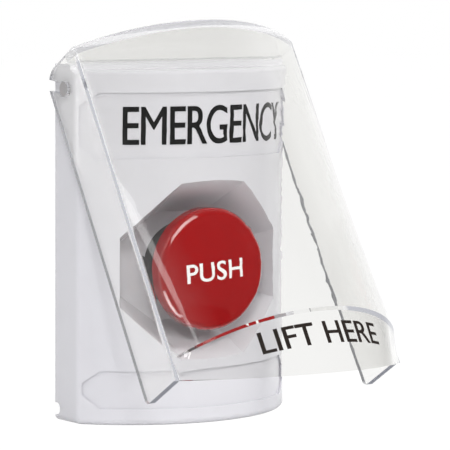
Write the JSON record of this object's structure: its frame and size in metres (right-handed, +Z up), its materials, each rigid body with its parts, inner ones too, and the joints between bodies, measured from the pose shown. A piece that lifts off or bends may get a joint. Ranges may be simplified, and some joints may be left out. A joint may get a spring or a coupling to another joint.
{
  "type": "emergency push button station",
  "caption": "Wall-mounted emergency push button: bow-fronted white housing, red mushroom button in an eight-sided recess and a clear hinged lift-up shield, with its contact block behind.",
  "frame": {"origin": "on the wall plane, midway between the two wall box screw holes, which is the centre of the housing's back", "axes": "+X to the right of someone facing the button, +Y into the wall (the front faces -Y), +Z up"},
  "size_m": [0.0878, 0.1301, 0.1331],
  "materials": {
    "white_plastic": "satin moulded",
    "clear_plastic": "clear polished",
    "red_plastic": "glossy",
    "plated_steel": "zinc plated",
    "screw_steel": "bright",
    "pin_plastic": "satin",
    "black_plastic": "matte",
    "block_plastic": "matte",
    "contact_brass": "plain",
    "gasket_rubber": "matte"
  },
  "bodies": {
    "base": {"front_housing": "white_plastic", "back_plate": "plated_steel", "housing_screws": "screw_steel", "left_hinge_pin": "pin_plastic", "right_hinge_pin": "pin_plastic", "operator_bushing": "black_plastic", "panel_gasket": "gasket_rubber", "lock_washer": "plated_steel", "lock_nut": "black_plastic", "mounting_collar": "black_plastic", "collar_screws": "screw_steel", "contact_block_body": "block_plastic", "contact_block_cover": "block_plastic", "closed_contact_terminals": "contact_brass", "open_contact_terminals": "contact_brass", "terminal_screws": "screw_steel", "return_spring": "screw_steel", "contact_spring": "screw_steel"},
    "shield": {"clear_shield": "clear_plastic"},
    "button": {"push_button_cap": "red_plastic", "button_stem": "screw_steel", "stem_retaining_clip": "screw_steel"},
    "carrier": {"contact_carrier": "black_plastic", "closed_contact_bridge": "contact_brass", "open_contact_bridge": "contact_brass"}
  },
  "joints": [
    {"name": "shield_hinge", "type": "hinge", "parent": "base", "child": "shield", "pos_m": [0, -0.0092, 0.0511], "axis": [-1, 0, 0], "range_deg": [-31.4, 18.6]},
    {"name": "button_press", "type": "slide", "parent": "base", "child": "button", "axis": [0, 1, 0], "range_m": [0, 0.0055], "stiffness_N_per_m": 1200, "springref_m": -0.002, "deforming": ["return_spring"]},
    {"name": "carrier_slide", "type": "slide", "parent": "base", "child": "carrier", "axis": [0, 1, 0], "range_m": [0, 0.0055], "stiffness_N_per_m": 300, "springref_m": -0.001, "deforming": ["contact_spring"]}
  ],
  "couplings": [
    {"joint": "carrier_slide", "follows": "button_press", "ratio": 1}
  ]
}
